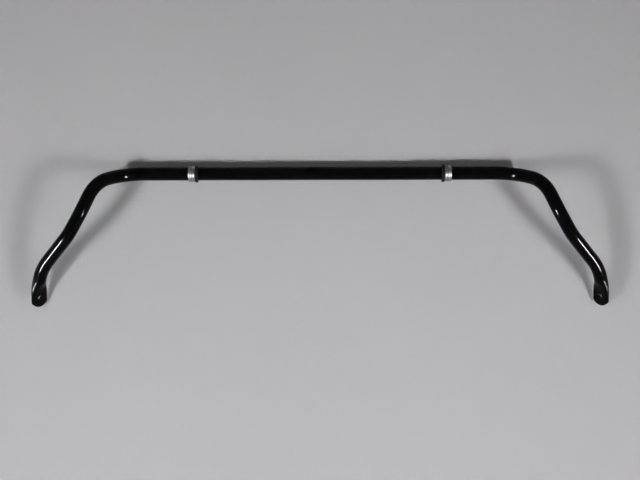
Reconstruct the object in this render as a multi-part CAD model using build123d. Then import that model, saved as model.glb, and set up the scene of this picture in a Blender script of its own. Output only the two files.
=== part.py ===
from build123d import *
from math import cos, pi, radians, sin
import os

# Sway bar for a car's suspension: one steel tube, bent into two arms, with both ends pressed flat and
# pierced for the drop links, and two crimped collars with plastic thrust rings that stop it from
# sliding sideways in its bushings.
#
# Frame, in millimetres: X runs along the bar's straight middle, the arms reach towards -Y, +Z is up
# as the bar lies on a flat surface, and the origin is the middle of the straight stretch's axis.
# The bar is symmetric about X = 0, so the right arm is drawn and mirrored.

# Tube
TUBE_RADIUS = 12.0
WALL = 4.0

# Right arm: the corners that its centreline's straight runs would meet at, and each bend's radius
BEND_OUT = (348.8, 0.0, 0.0)
SHOULDER = (394.5, -16.3, 49.0)
CREST = (417.0, -67.5, 65.5)
KNEE = (441.0, -108.9, 56.0)
ANKLE = (500.3, -176.8, 21.5)
LINK_HOLE = (503.0, -220.5, 0.8)
BEND_RADII = [84.0, 62.0, 60.0, 100.0, 96.0]

# Flattened end: the tube's two walls pressed together, so its width follows from the wall
FLAT_THICKNESS = 2 * WALL
FLAT_WIDTH = pi * (TUBE_RADIUS - WALL) + FLAT_THICKNESS
FLAT_TILT = 50.0
FLAT_BEHIND_HOLE = 10.0
FLATTENING_LENGTH = 28.0
FLATTENING_STEPS = 6
TIP_REACH = 17.0
TIP_RADIUS = 19.0
LINK_HOLE_RADIUS = 5.1

# Crimped collar and its thrust ring, one pair on each side
COLLAR_CENTRE = 229.0
COLLAR_WIDTH = 12.0
COLLAR_RADIUS = 14.5
COLLAR_EDGE = 0.6
GROOVE_OFFSET = 2.3
GROOVE_WIDTH = 1.0
GROOVE_DEPTH = 0.5
RING_WIDTH = 5.0
RING_RADIUS = 15.75
RING_EDGE = 0.5


def arm_path():
    """Centreline from the middle of the bar to the right link hole: straight runs and tangent arcs."""
    corners = [(0, 0, 0), BEND_OUT, SHOULDER, CREST, KNEE, ANKLE, LINK_HOLE]
    return FilletPolyline(*corners, radius=BEND_RADII)


def section_plane(path, distance):
    """Plane across the path at a distance along it, with its x direction along the flat's width."""
    along = path.tangent_at(distance / path.length)
    outboard = Vector(0, 0, 1).cross(along).normalized()
    upward = along.cross(outboard)
    width = outboard * cos(radians(FLAT_TILT)) + upward * sin(radians(FLAT_TILT))
    return Plane(origin=path.position_at(distance / path.length), x_dir=width, z_dir=along)


def flattened_section(plane, pressed):
    """Outline of the tube when pressed by a share of the way, 0 round and 1 flat, as four edges."""
    round_corner = TUBE_RADIUS * cos(radians(45))
    corner_x = (1 - pressed) * round_corner + pressed * (FLAT_WIDTH - FLAT_THICKNESS) / 2
    corner_y = (1 - pressed) * round_corner + pressed * FLAT_THICKNESS / 2
    half_width = (1 - pressed) * TUBE_RADIUS + pressed * FLAT_WIDTH / 2
    half_thickness = (1 - pressed) * TUBE_RADIUS + pressed * FLAT_THICKNESS / 2
    edges = []
    for side in (1, -1):
        corner = (side * corner_x, side * corner_y)
        next_corner = (-side * corner_x, side * corner_y)
        last_corner = (-side * corner_x, -side * corner_y)
        if pressed < 1:
            edges.append(ThreePointArc(corner, (0, side * half_thickness), next_corner))
        else:
            edges.append(Line(corner, next_corner))
        edges.append(ThreePointArc(next_corner, (-side * half_width, 0), last_corner))
    return plane * make_face(edges)


def round_tube(path, radius):
    """Solid round bar along the path."""
    start = Plane(origin=path.position_at(0), z_dir=path.tangent_at(0))
    return sweep(start * Circle(radius), path)


def flattening(path, start, end):
    """Stretch where the tube goes from round to flat, eased in and out."""
    sections = []
    for step in range(FLATTENING_STEPS + 1):
        share = step / FLATTENING_STEPS
        plane = section_plane(path, start + share * (end - start))
        sections.append(flattened_section(plane, share * share * (3 - 2 * share)))
    return loft(sections)


def flat_end(path, start):
    """Flat end with a sheared round tip."""
    plane = section_plane(path, start)
    blank = extrude(flattened_section(plane, 1), FLAT_BEHIND_HOLE + TIP_REACH + TIP_RADIUS)
    face_plane = Plane(origin=LINK_HOLE, x_dir=plane.x_dir, z_dir=plane.y_dir)
    tip_centre = face_plane * Pos(0, TIP_RADIUS - TIP_REACH)
    tip = tip_centre * Circle(TIP_RADIUS)
    behind = tip_centre * Pos(0, FLAT_BEHIND_HOLE) * Rectangle(2 * TIP_RADIUS, 2 * FLAT_BEHIND_HOLE)
    outline = extrude(tip + behind, FLAT_WIDTH, both=True)
    return blank & outline


def link_hole(path):
    """Cutter for the hole through the flat end."""
    plane = section_plane(path, path.length)
    through = Plane(origin=LINK_HOLE, x_dir=plane.x_dir, z_dir=plane.y_dir)
    return through * Cylinder(LINK_HOLE_RADIUS, 2 * FLAT_THICKNESS)


def bar():
    """The whole bar: a closed hollow tube whose bore ends where the flattening starts."""
    path = arm_path()
    flat_start = path.length - FLAT_BEHIND_HOLE
    tube_end = flat_start - FLATTENING_LENGTH
    round_path = path.trim(0, tube_end / path.length)
    half = round_tube(round_path, TUBE_RADIUS)
    half += flattening(path, tube_end, flat_start)
    half += flat_end(path, flat_start)
    half -= link_hole(path)
    half -= round_tube(round_path, TUBE_RADIUS - WALL)
    return half + mirror(half, about=Plane.YZ)


def ring(centre, width, radius, edge):
    """Ring on the tube with its axis along X and small chamfers on its outer edges."""
    blank = Cylinder(radius, width, rotation=(0, 90, 0))
    rims = blank.edges().filter_by(GeomType.CIRCLE)
    blank = chamfer(rims, edge)
    blank -= Cylinder(TUBE_RADIUS, width, rotation=(0, 90, 0))
    return Pos(centre, 0, 0) * blank


def collar(centre):
    """Crimped collar with two shallow grooves round it."""
    body = ring(centre, COLLAR_WIDTH, COLLAR_RADIUS, COLLAR_EDGE)
    for offset in (-GROOVE_OFFSET, GROOVE_OFFSET):
        groove = Cylinder(2 * COLLAR_RADIUS, GROOVE_WIDTH, rotation=(0, 90, 0))
        groove -= Cylinder(COLLAR_RADIUS - GROOVE_DEPTH, GROOVE_WIDTH, rotation=(0, 90, 0))
        body -= Pos(centre + offset, 0, 0) * groove
    return body


os.makedirs("parts", exist_ok=True)
export_step(bar(), "parts/bar.step")
for side_name, side in (("left", -1), ("right", 1)):
    ring_centre = COLLAR_CENTRE - (COLLAR_WIDTH + RING_WIDTH) / 2
    export_step(collar(side * COLLAR_CENTRE), f"parts/{side_name}_crimp_collar.step")
    thrust_ring = ring(side * ring_centre, RING_WIDTH, RING_RADIUS, RING_EDGE)
    export_step(thrust_ring, f"parts/{side_name}_thrust_ring.step")
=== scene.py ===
from math import acos, atan2, ceil, cos, exp, hypot, pi, radians, sin, sqrt, tan

import bmesh
import bpy
import numpy as np
from mathutils import Matrix, Vector


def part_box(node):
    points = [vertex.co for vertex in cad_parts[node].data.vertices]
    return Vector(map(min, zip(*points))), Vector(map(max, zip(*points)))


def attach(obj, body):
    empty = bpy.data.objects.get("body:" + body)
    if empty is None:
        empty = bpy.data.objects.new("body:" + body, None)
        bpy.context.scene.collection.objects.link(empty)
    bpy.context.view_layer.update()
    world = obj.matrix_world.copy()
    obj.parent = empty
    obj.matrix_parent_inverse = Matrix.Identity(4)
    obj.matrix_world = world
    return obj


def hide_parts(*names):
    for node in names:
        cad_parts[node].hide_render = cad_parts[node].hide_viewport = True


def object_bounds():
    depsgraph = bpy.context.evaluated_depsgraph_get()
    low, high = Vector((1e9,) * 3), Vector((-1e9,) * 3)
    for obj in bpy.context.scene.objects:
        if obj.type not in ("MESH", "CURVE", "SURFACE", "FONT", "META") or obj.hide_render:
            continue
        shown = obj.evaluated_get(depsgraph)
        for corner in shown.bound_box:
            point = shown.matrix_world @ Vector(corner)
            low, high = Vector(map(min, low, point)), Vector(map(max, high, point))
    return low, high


# Sway bar: a bent steel tube with flattened, pierced ends in gloss black paint, two crimped
# aluminium collars and two black plastic thrust rings.  Everything is in metres, in the CAD's
# frame: X along the straight middle of the bar, the arms towards -Y, +Z up.  The bar is symmetric
# about X = 0, so its right half is made and mirrored.

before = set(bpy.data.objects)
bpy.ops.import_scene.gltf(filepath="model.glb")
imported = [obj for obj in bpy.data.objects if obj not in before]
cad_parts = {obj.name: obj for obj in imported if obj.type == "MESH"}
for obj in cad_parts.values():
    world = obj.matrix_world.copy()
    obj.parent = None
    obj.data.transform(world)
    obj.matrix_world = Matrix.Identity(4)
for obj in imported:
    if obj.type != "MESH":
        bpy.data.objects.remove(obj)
cad_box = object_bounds()

# Tube: the corners that the straight runs of its centreline would meet at, and each bend's radius
TUBE_RADIUS = 0.012
WALL = 0.004
CORNERS = [
    (0.0, 0.0, 0.0),
    (0.3488, 0.0, 0.0),
    (0.3945, -0.0163, 0.0490),
    (0.4170, -0.0675, 0.0655),
    (0.4410, -0.1089, 0.0560),
    (0.5003, -0.1768, 0.0215),
    (0.5030, -0.2205, 0.0008),
]
BEND_RADII = [0.084, 0.062, 0.060, 0.100, 0.096]

# Flattened end: the tube's walls pressed together, so its width follows from the wall
FLAT_THICKNESS = 2 * WALL
FLAT_WIDTH = pi * (TUBE_RADIUS - WALL) + FLAT_THICKNESS
FLAT_TILT = radians(50)
FLAT_BEHIND_HOLE = 0.010
FLATTENING_LENGTH = 0.028
TIP_REACH = 0.017
TIP_RADIUS = 0.019
TIP_CORNER_RADIUS = 0.002
HOLE_RADIUS = 0.0051
HOLE_EDGE_RADIUS = 0.0002

# Sheared tip: its edge is square, with the seam of the two walls showing.  The folded sides turn
# into it between two distances past the tip's corner.
SHEARED_EDGE_RADIUS = 0.0007
SEAM_DEPTH = 0.0004
SEAM_WIDTH = 0.0005
SHEAR_START = 0.0003
SHEAR_END = 0.0055

# Collars and thrust rings, whose widths and radii come from the frame
COLLAR_GROOVE_OFFSET = 0.0023
COLLAR_GROOVE_WIDTH = 0.0010
COLLAR_GROOVE_DEPTH = 0.0005
COLLAR_GROOVE_FULLNESS = 0.7
COLLAR_CROWN = 0.00040
COLLAR_EDGE_RADIUS = 0.0006
RING_EDGE_RADIUS = 0.0008

# Mesh fineness.  The plate is the part of the flat end that has its own mesh, round the hole.
ROUND_STEPS = 128
QUARTER = ROUND_STEPS // 4
RUN_SPACING = 0.004
BEND_STEP = radians(2.0)
FLAT_SPACING = 0.0008
PLATE_BEHIND_HOLE = 0.0098
PLATE_RINGS = 7
HOLE_EDGE_STEPS = 5
TIP_CORNER_STEPS = 6
TURNED_SEGMENTS = 192
COLLAR_STEPS = 120
RING_EDGE_STEPS = 6
MERGE_DISTANCE = 2e-6

# Darkest and palest base colour of each surface
PAINT_TINTS = ((0.0020, 0.0020, 0.0023), (0.0050, 0.0050, 0.0054))
ALUMINIUM_TINTS = ((0.215, 0.219, 0.223), (0.375, 0.379, 0.383))
NYLON_TINTS = ((0.009, 0.009, 0.009), (0.020, 0.020, 0.020))
PAPER_TINTS = ((0.605, 0.592, 0.61), (0.645, 0.632, 0.65))

# Studio: the camera looks straight down.  Lamps stand on both sides, and a place is the distance
# out to the side, along Y, and up from the floor.  A lamp's width runs along Y.
FLOOR_SIZE = 60.0
CAMERA_HEIGHT = 2.613
CAMERA_LENS = 81.56
CAMERA_SENSOR = 36.0
CAMERA_OFFSET_Y = -0.1191
CAMERA_ROLL = radians(-0.15)
SOFTBOX_PLACE = (3.50, -2.60, 3.00)
SOFTBOX_WIDTH = 2.40
SOFTBOX_HEIGHT = 0.60
SOFTBOX_SPREAD = radians(31)
SOFTBOX_POWER = 8.3
SPOT_PLACE = (5.80, -3.60, 4.80)
SPOT_WIDTH = 2.10
SPOT_HEIGHT = 0.28
SPOT_POWER = 1900.0
LEFT_LAMPS_SHARE = 1.06
LAMP_AIM = (0.60, -0.90)
ROOM_OVERHEAD = 0.06
ROOM_HORIZON = 0.26


# ---------------------------------------------------------------- meshes

def new_object(name, vertices, faces, material):
    """Smooth-shaded mesh object, doubled points merged."""
    mesh = bpy.data.meshes.new(name)
    mesh.from_pydata([tuple(v) for v in vertices], [], faces)
    piece = bpy.data.objects.new(name, mesh)
    bpy.context.scene.collection.objects.link(piece)
    mesh.materials.append(material)
    work = bmesh.new()
    work.from_mesh(mesh)
    bmesh.ops.remove_doubles(work, verts=work.verts, dist=MERGE_DISTANCE)
    bmesh.ops.recalc_face_normals(work, faces=work.faces)
    work.to_mesh(mesh)
    work.free()
    mesh.shade_smooth()
    weighted = piece.modifiers.new("even shading", "WEIGHTED_NORMAL")
    weighted.keep_sharp = True
    return piece


def grid_faces(rows, columns, start=0, wrap_rows=False, wrap_columns=False):
    """Quads over points stored row by row; wrapping joins the last row or column to the first."""
    faces = []
    for row in range(rows if wrap_rows else rows - 1):
        this_row = start + row * columns
        next_row = start + (row + 1) % rows * columns
        for column in range(columns if wrap_columns else columns - 1):
            following = (column + 1) % columns
            faces.append((this_row + column, this_row + following,
                          next_row + following, next_row + column))
    return faces


def ease(share):
    """Share from 0 to 1 that starts and ends gently."""
    share = max(0.0, min(1.0, share))
    return share * share * (3 - 2 * share)


# ---------------------------------------------------------------- the bar's route

def arc_points(corner, before, after, radius):
    """Places and headings on the arc that rounds a corner between two unit directions."""
    turn = acos(max(-1.0, min(1.0, before.dot(after))))
    reach = radius * tan(turn / 2)
    across = (after - before).normalized()
    centre = corner + across * (radius / cos(turn / 2))
    start = corner - before * reach
    spoke = (start - centre) / radius
    steps = max(2, ceil(turn / BEND_STEP))
    places = []
    for step in range(steps + 1):
        angle = turn * step / steps
        place = centre + radius * (spoke * cos(angle) + before * sin(angle))
        heading = before * cos(angle) - spoke * sin(angle)
        places.append((place, heading))
    return places


def route():
    """Places and headings along the right half of the bar, from its middle to the link hole."""
    corners = [Vector(c) for c in CORNERS]
    places = [(corners[0], (corners[1] - corners[0]).normalized())]
    for index, radius in enumerate(BEND_RADII):
        before = (corners[index + 1] - corners[index]).normalized()
        after = (corners[index + 2] - corners[index + 1]).normalized()
        places += arc_points(corners[index + 1], before, after, radius)
    places.append((corners[-1], (corners[-1] - corners[-2]).normalized()))
    return places


def spaced_route():
    """The route with its runs divided, as (distance, place, heading), and its whole length."""
    places = route()
    spaced = [(0.0, *places[0])]
    total = 0.0
    for (place, heading), (next_place, next_heading) in zip(places, places[1:]):
        length = (next_place - place).length
        parts = max(1, ceil(length / RUN_SPACING))
        for part in range(1, parts + 1):
            share = part / parts
            spaced.append((total + length * share, place.lerp(next_place, share),
                           heading.lerp(next_heading, share).normalized()))
        total += length
    return spaced, total


def place_at(table, distance):
    """Place and heading at a distance, from rows of distance, place and heading."""
    values = [np.interp(distance, table[:, 0], column) for column in table[:, 1:].T]
    return Vector(values[:3]), Vector(values[3:]).normalized()


def section_axes(heading):
    """Unit directions across the tube: along the flat's width, and out of its upper face."""
    outboard = Vector((0, 0, 1)).cross(heading).normalized()
    upward = heading.cross(outboard)
    width = outboard * cos(FLAT_TILT) + upward * sin(FLAT_TILT)
    return width, heading.cross(width)


def section_points(pressed):
    """Outline of the tube across its width and thickness, round at 0 and flat at 1."""
    half_flat = (FLAT_WIDTH - FLAT_THICKNESS) / 2
    edge = FLAT_THICKNESS / 2
    half_outline = []
    for index in range(2 * QUARTER):
        angle = pi / 4 + pi / 2 * index / QUARTER
        quarter, step = divmod(index, QUARTER)
        share = step / QUARTER
        if quarter == 0:
            flat_point = (half_flat * (1 - 2 * share), edge)
        else:
            turn = pi / 2 + pi * share
            flat_point = (-half_flat + edge * cos(turn), edge * sin(turn))
        across = (1 - pressed) * TUBE_RADIUS * cos(angle) + pressed * flat_point[0]
        height = (1 - pressed) * TUBE_RADIUS * sin(angle) + pressed * flat_point[1]
        half_outline.append((across, height))
    return half_outline + [(-across, -height) for across, height in half_outline]


# ---------------------------------------------------------------- the bar's flat end

def tip_outline():
    """Outline of the plate from its upper side line round the tip to its lower side line.

    Each point is (along, across, inward along, inward across, sheared), where sheared is 0 on the
    folded sides and 1 on the cut tip.
    """
    half = FLAT_WIDTH / 2
    centre = TIP_REACH - TIP_RADIUS
    # centre of the small corner circle, tangent to the side line and to the tip's arc
    corner_y = half - TIP_CORNER_RADIUS
    corner_x = centre + sqrt((TIP_RADIUS - TIP_CORNER_RADIUS) ** 2 - corner_y ** 2)
    tip_angle = atan2(corner_y, corner_x - centre)
    points = []
    side_steps = ceil((corner_x + PLATE_BEHIND_HOLE) / FLAT_SPACING)
    for step in range(side_steps + 1):
        along = -PLATE_BEHIND_HOLE + (corner_x + PLATE_BEHIND_HOLE) * step / side_steps
        points.append((along, half, 0.0, -1.0))
    for step in range(1, TIP_CORNER_STEPS + 1):
        angle = pi / 2 + (tip_angle - pi / 2) * step / TIP_CORNER_STEPS
        points.append((corner_x + TIP_CORNER_RADIUS * cos(angle),
                       corner_y + TIP_CORNER_RADIUS * sin(angle), -cos(angle), -sin(angle)))
    tip_steps = ceil(tip_angle * TIP_RADIUS / FLAT_SPACING)
    for step in range(1, tip_steps + 1):
        angle = tip_angle * (1 - step / tip_steps)
        points.append((centre + TIP_RADIUS * cos(angle), TIP_RADIUS * sin(angle),
                       -cos(angle), -sin(angle)))
    mirrored = [(x, -y, nx, -ny) for x, y, nx, ny in reversed(points[:-1])]
    return [(x, y, nx, ny, ease((x - corner_x - SHEAR_START) / (SHEAR_END - SHEAR_START)))
            for x, y, nx, ny in points + mirrored]


def edge_profile(radius, sheared):
    """(inset, height) points down the plate's edge, spaced evenly by length."""
    half = FLAT_THICKNESS / 2
    quarter = pi / 2 * radius
    straight = FLAT_THICKNESS - 2 * radius
    total = 2 * quarter + straight
    points = []
    for step in range(QUARTER + 1):
        run = total * step / QUARTER
        if run <= quarter:
            angle = run / radius
            inset = radius * (1 - sin(angle))
            height = half - radius + radius * cos(angle)
        elif run <= quarter + straight:
            inset = 0.0
            height = half - radius - (run - quarter)
        else:
            angle = (run - quarter - straight) / radius
            inset = radius * (1 - cos(angle))
            height = -half + radius - radius * sin(angle)
        seam = SEAM_DEPTH * sheared * exp(-(height / SEAM_WIDTH) ** 2)
        points.append((inset + seam, height))
    return points


def plate_edge(outline):
    """Points down the folded sides and the sheared tip, and the line where the faces start."""
    vertices = []
    face_line = []
    for x, y, nx, ny, sheared in outline:
        radius = FLAT_THICKNESS / 2 * (1 - sheared) + SHEARED_EDGE_RADIUS * sheared
        for inset, height in edge_profile(radius, sheared):
            vertices.append((x + nx * inset, y + ny * inset, height))
        face_line.append((x + nx * radius, y + ny * radius))
    return vertices, face_line


def face_rings(loop, height):
    """Rings of points on one face of the plate, from its edge in to the hole's rim."""
    rim = HOLE_RADIUS + HOLE_EDGE_RADIUS
    rings = []
    for index in range(PLATE_RINGS + 1):
        share = index / PLATE_RINGS
        scales = [1 - share + share * rim / hypot(x, y) for x, y in loop]
        rings.append([(x * scale, y * scale, height) for (x, y), scale in zip(loop, scales)])
    return rings


def hole_rings(loop):
    """Rings of points down the hole, from its upper rounded rim to its lower one."""
    upper = []
    for step in range(HOLE_EDGE_STEPS + 1):
        angle = pi / 2 * step / HOLE_EDGE_STEPS
        upper.append((HOLE_RADIUS + HOLE_EDGE_RADIUS * (1 - sin(angle)),
                      FLAT_THICKNESS / 2 - HOLE_EDGE_RADIUS * (1 - cos(angle))))
    lower = [(radius, -height) for radius, height in reversed(upper)]
    return [[(x / hypot(x, y) * radius, y / hypot(x, y) * radius, height) for x, y in loop]
            for radius, height in upper + lower]


def plate_mesh():
    """Flat end beyond the tube's last ring, in (along, across, height) about the link hole."""
    outline = tip_outline()
    vertices, face_line = plate_edge(outline)
    faces = grid_faces(len(outline), QUARTER + 1)
    half_flat = (FLAT_WIDTH - FLAT_THICKNESS) / 2
    back_line = [(-PLATE_BEHIND_HOLE, half_flat * (2 * step / QUARTER - 1))
                 for step in range(1, QUARTER)]
    loop = face_line + back_line
    upper_face = face_rings(loop, FLAT_THICKNESS / 2)
    lower_face = face_rings(loop, -FLAT_THICKNESS / 2)
    for rings in (upper_face, lower_face, hole_rings(loop)):
        faces += grid_faces(len(rings), len(loop), len(vertices), wrap_columns=True)
        for ring in rings:
            vertices += ring
    return vertices, faces


# ---------------------------------------------------------------- the bar

def bar_stations(spaced, tube_end, plate_start):
    """(distance, place, heading) of each ring of the bar, closer together on the flattening."""
    stations = [station for station in spaced if station[0] < tube_end - RUN_SPACING / 2]
    table = np.array([(distance, *place, *heading) for distance, place, heading in spaced])
    steps = ceil((plate_start - tube_end) / FLAT_SPACING)
    for step in range(steps + 1):
        distance = tube_end + (plate_start - tube_end) * step / steps
        stations.append((distance, *place_at(table, distance)))
    return stations


def bar_half():
    """Vertices and faces of the right half of the bar, open at its middle."""
    spaced, total = spaced_route()
    tube_end = total - FLAT_BEHIND_HOLE - FLATTENING_LENGTH
    stations = bar_stations(spaced, tube_end, total - PLATE_BEHIND_HOLE)
    vertices = []
    for distance, place, heading in stations:
        width, outward = section_axes(heading)
        pressed = ease((distance - tube_end) / FLATTENING_LENGTH)
        for across, height in section_points(pressed):
            vertices.append(place + width * across + outward * height)
    faces = grid_faces(len(stations), ROUND_STEPS, wrap_columns=True)
    _, hole, heading = spaced[-1]
    width, outward = section_axes(heading)
    plate_vertices, plate_faces = plate_mesh()
    offset = len(vertices)
    vertices += [hole + heading * x + width * y + outward * h for x, y, h in plate_vertices]
    faces += [tuple(offset + i for i in face) for face in plate_faces]
    return vertices, faces


def build_bar(material):
    """The whole bar as one closed mesh, the left half mirrored from the right."""
    vertices, faces = bar_half()
    count = len(vertices)
    vertices += [Vector((-v.x, v.y, v.z)) for v in vertices]
    faces += [tuple(count + i for i in reversed(face)) for face in faces]
    return new_object("bar_tube", vertices, faces, material)


# ---------------------------------------------------------------- collars and rings

def turned_ring(name, profile, material):
    """Closed ring about the X axis from a closed loop of (x, radius) points."""
    vertices = []
    for segment in range(TURNED_SEGMENTS):
        angle = 2 * pi * segment / TURNED_SEGMENTS
        for x, radius in profile:
            vertices.append((x, radius * cos(angle), radius * sin(angle)))
    faces = grid_faces(TURNED_SEGMENTS, len(profile), wrap_rows=True, wrap_columns=True)
    return new_object(name, vertices, faces, material)


def collar_radius(x, low, high, outer):
    """Radius of the collar at x: three crowned lands, two grooves and rounded outer edges."""
    middle = (low + high) / 2
    radius = outer
    from_edge = min(x - low, high - x)
    if from_edge < COLLAR_EDGE_RADIUS:
        missing = COLLAR_EDGE_RADIUS - from_edge
        radius -= COLLAR_EDGE_RADIUS - sqrt(COLLAR_EDGE_RADIUS ** 2 - missing ** 2)
    for side in (-1, 1):
        from_groove = abs(x - middle - side * COLLAR_GROOVE_OFFSET) / (COLLAR_GROOVE_WIDTH / 2)
        if from_groove < 1:
            radius -= COLLAR_GROOVE_DEPTH * (1 - from_groove ** 2) ** COLLAR_GROOVE_FULLNESS
    land_edges = (low, middle - COLLAR_GROOVE_OFFSET, middle + COLLAR_GROOVE_OFFSET, high)
    for start, end in zip(land_edges, land_edges[1:]):
        if start <= x <= end:
            off_centre = (x - (start + end) / 2) / ((end - start) / 2)
            radius -= COLLAR_CROWN * off_centre ** 2
    return radius


def collar_profile(low, high, outer):
    """Closed loop of (x, radius) points round the collar's section."""
    points = []
    for step in range(COLLAR_STEPS + 1):
        x = low + (high - low) * step / COLLAR_STEPS
        points.append((x, collar_radius(x, low, high, outer)))
    return points + [(high, TUBE_RADIUS), (low, TUBE_RADIUS)]


def ring_profile(low, high, outer):
    """Closed loop of (x, radius) points round the thrust ring's section, its edges rounded."""
    points = []
    for centre_x, first in ((low + RING_EDGE_RADIUS, pi), (high - RING_EDGE_RADIUS, pi / 2)):
        for step in range(RING_EDGE_STEPS + 1):
            angle = first - pi / 2 * step / RING_EDGE_STEPS
            points.append((centre_x + RING_EDGE_RADIUS * cos(angle),
                           outer - RING_EDGE_RADIUS + RING_EDGE_RADIUS * sin(angle)))
    return points + [(high, TUBE_RADIUS), (low, TUBE_RADIUS)]


# ---------------------------------------------------------------- materials

def fill_inputs(tree, node, inputs):
    """Set a node's inputs by name, each to a value or to another node's output."""
    for name, value in inputs.items():
        if isinstance(value, bpy.types.NodeSocket):
            tree.links.new(value, node.inputs[name])
        else:
            node.inputs[name].default_value = value


def node_material(name):
    """New material, its node tree and its object coordinates."""
    material = bpy.data.materials.new(name)
    material.use_nodes = True
    tree = material.node_tree
    return material, tree, tree.nodes.new("ShaderNodeTexCoord").outputs["Object"]


def fill_shader(tree, inputs):
    """Set the inputs of the material's own shader."""
    fill_inputs(tree, tree.nodes["Principled BSDF"], inputs)


def noise(tree, vector, scale, detail=2.0, roughness=0.5):
    """Noise from 0 to 1 all round the object."""
    node = tree.nodes.new("ShaderNodeTexNoise")
    fill_inputs(tree, node, {"Vector": vector, "Scale": scale, "Detail": detail,
                             "Roughness": roughness})
    return node.outputs["Fac"]


def remap(tree, value, source, result):
    """Value moved from the source range to the result range."""
    node = tree.nodes.new("ShaderNodeMapRange")
    fill_inputs(tree, node, {"Value": value, "From Min": source[0], "From Max": source[1],
                             "To Min": result[0], "To Max": result[1]})
    return node.outputs["Result"]


def tint(tree, value, tints):
    """Colour between the darkest and the palest tint."""
    node = tree.nodes.new("ShaderNodeValToRGB")
    for element, colour in zip(node.color_ramp.elements, tints):
        element.color = (*colour, 1)
    fill_inputs(tree, node, {"Fac": value})
    return node.outputs["Color"]


def bump(tree, height, distance, strength=1.0, below=None):
    """Normal with a height laid over it, on top of another bump if there is one."""
    node = tree.nodes.new("ShaderNodeBump")
    fill_inputs(tree, node, {"Height": height, "Distance": distance, "Strength": strength})
    if below is not None:
        fill_inputs(tree, node, {"Normal": below})
    return node.outputs["Normal"]


def gloss_black_paint():
    """Deep black paint with faint mottling, patches of gloss and a fine orange-peel skin."""
    material, tree, place = node_material("gloss_black_paint")
    mottling = noise(tree, place, scale=60.0, detail=4.0)
    patches = noise(tree, place, scale=35.0, detail=6.0, roughness=0.6)
    peel = bump(tree, noise(tree, place, scale=420.0, detail=1.0), distance=0.00006, strength=0.35)
    skin = bump(tree, noise(tree, place, scale=2600.0), distance=0.00001, strength=0.3, below=peel)
    fill_shader(tree, {
        "Base Color": tint(tree, mottling, PAINT_TINTS),
        "Roughness": remap(tree, patches, source=(0.35, 0.7), result=(0.06, 0.10)),
        "IOR": 1.5,
        "Specular IOR Level": 0.06,
        "Normal": skin,
    })
    return material


def turned_aluminium():
    """Satin aluminium with fine turning lines that run round the ring."""
    material, tree, place = node_material("turned_aluminium")
    split = tree.nodes.new("ShaderNodeSeparateXYZ")
    fill_inputs(tree, split, {"Vector": place})
    lines = tree.nodes.new("ShaderNodeTexNoise")
    lines.noise_dimensions = "1D"
    fill_inputs(tree, lines, {"W": split.outputs["X"], "Scale": 9000.0, "Detail": 3.0})
    patches = noise(tree, place, scale=180.0, detail=4.0)
    fill_shader(tree, {
        "Base Color": tint(tree, lines.outputs["Fac"], ALUMINIUM_TINTS),
        "Metallic": 1.0,
        "Roughness": remap(tree, patches, source=(0.3, 0.7), result=(0.29, 0.41)),
        "Normal": bump(tree, lines.outputs["Fac"], distance=0.00006),
    })
    return material


def moulded_nylon():
    """Black nylon with a fine moulded grain."""
    material, tree, place = node_material("moulded_nylon")
    mottling = noise(tree, place, scale=900.0, detail=3.0)
    patches = noise(tree, place, scale=300.0, detail=3.0)
    grain = noise(tree, place, scale=3500.0)
    fill_shader(tree, {
        "Base Color": tint(tree, mottling, NYLON_TINTS),
        "Roughness": remap(tree, patches, source=(0.3, 0.7), result=(0.42, 0.6)),
        "Specular IOR Level": 0.08,
        "Normal": bump(tree, grain, distance=0.00003, strength=0.5),
    })
    return material


def backdrop_paper():
    """Pale grey studio paper."""
    material, tree, place = node_material("backdrop_paper")
    fill_shader(tree, {
        "Base Color": tint(tree, noise(tree, place, scale=2.0, detail=3.0), PAPER_TINTS),
        "Roughness": 0.9,
        "Specular IOR Level": 0.0,
    })
    return material


# ---------------------------------------------------------------- the studio

def make_floor(material):
    """Wide level floor under the bar."""
    half = FLOOR_SIZE / 2
    height = cad_box[0].z
    corners = [(-half, -half, height), (half, -half, height), (half, half, height),
               (-half, half, height)]
    mesh = bpy.data.meshes.new("floor")
    mesh.from_pydata(corners, [], [(0, 1, 2, 3)])
    mesh.materials.append(material)
    floor = bpy.data.objects.new("floor", mesh)
    bpy.context.scene.collection.objects.link(floor)


def make_lamp(name, side, place, width, height, power):
    """Flat lamp on one side, its width along Y, aimed at the floor by its own side's arm."""
    target = Vector((side * LAMP_AIM[0], LAMP_AIM[1], cad_box[0].z))
    data = bpy.data.lights.new(name, "AREA")
    data.shape = "RECTANGLE"
    data.size = width
    data.size_y = height
    data.energy = power * (LEFT_LAMPS_SHARE if side < 0 else 2 - LEFT_LAMPS_SHARE)
    lamp = bpy.data.objects.new(name, data)
    lamp.location = (side * place[0], place[1], cad_box[0].z + place[2])
    backward = (lamp.location - target).normalized()
    upward = backward.cross(Vector((0, 1, 0))).normalized()
    sideways = upward.cross(backward)
    lamp.rotation_mode = "QUATERNION"
    lamp.rotation_quaternion = Matrix((sideways, upward, backward)).transposed().to_quaternion()
    lamp.visible_camera = False
    bpy.context.scene.collection.objects.link(lamp)
    return lamp


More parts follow.
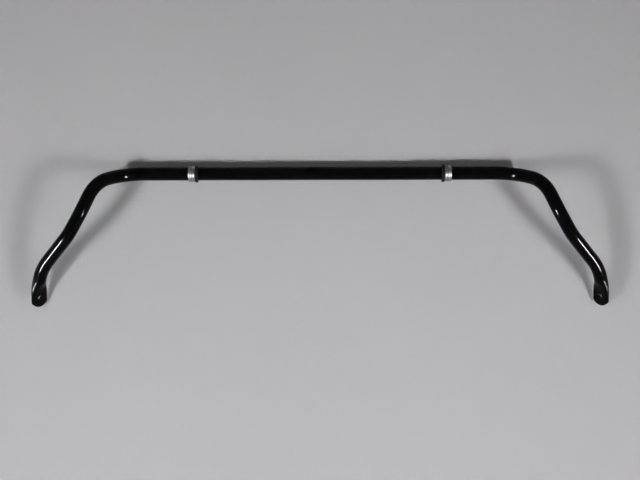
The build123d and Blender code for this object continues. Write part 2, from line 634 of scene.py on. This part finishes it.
def make_lamps():
    """On each side, a gridded softbox for light and shade, and a slim lamp for the reflections."""
    for side in (-1, 1):
        softbox = make_lamp("softbox", side, SOFTBOX_PLACE, SOFTBOX_WIDTH, SOFTBOX_HEIGHT,
                            SOFTBOX_POWER)
        softbox.data.spread = SOFTBOX_SPREAD
        softbox.visible_glossy = False
        spot = make_lamp("spot", side, SPOT_PLACE, SPOT_WIDTH, SPOT_HEIGHT, SPOT_POWER)
        spot.visible_diffuse = False


def make_world():
    """Dim room light, dark overhead and paler towards the walls."""
    world = bpy.data.worlds.new("room")
    world.use_nodes = True
    tree = world.node_tree
    place = tree.nodes.new("ShaderNodeTexCoord")
    split = tree.nodes.new("ShaderNodeSeparateXYZ")
    fill_inputs(tree, split, {"Vector": place.outputs["Generated"]})
    strength = remap(tree, split.outputs["Z"], source=(0.0, 1.0),
                     result=(ROOM_HORIZON, ROOM_OVERHEAD))
    fill_inputs(tree, tree.nodes["Background"], {"Color": (1.0, 1.0, 1.0, 1),
                                                 "Strength": strength})
    bpy.context.scene.world = world


def make_camera():
    """Camera over the bar, looking straight down."""
    data = bpy.data.cameras.new("camera")
    data.lens = CAMERA_LENS
    data.sensor_width = CAMERA_SENSOR
    camera = bpy.data.objects.new("camera", data)
    camera.location = (0, CAMERA_OFFSET_Y, cad_box[0].z + CAMERA_HEIGHT)
    camera.rotation_euler = (0, 0, CAMERA_ROLL)
    bpy.context.scene.collection.objects.link(camera)
    bpy.context.scene.camera = camera


# ---------------------------------------------------------------- the object

def fit_out(piece, node):
    """Put a piece in the place of its CAD node."""
    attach(piece, "root")
    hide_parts(node)


make_camera()
make_floor(backdrop_paper())
make_lamps()
make_world()
bpy.context.scene.view_settings.view_transform = "Standard"

paint = gloss_black_paint()
aluminium = turned_aluminium()
nylon = moulded_nylon()

fit_out(build_bar(paint), "bar")
for side_name in ("left", "right"):
    node = f"{side_name}_crimp_collar"
    low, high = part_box(node)
    collar = turned_ring(f"{node}_body", collar_profile(low.x, high.x, high.z), aluminium)
    fit_out(collar, node)
    node = f"{side_name}_thrust_ring"
    low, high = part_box(node)
    ring = turned_ring(f"{node}_body", ring_profile(low.x, high.x, high.z), nylon)
    fit_out(ring, node)
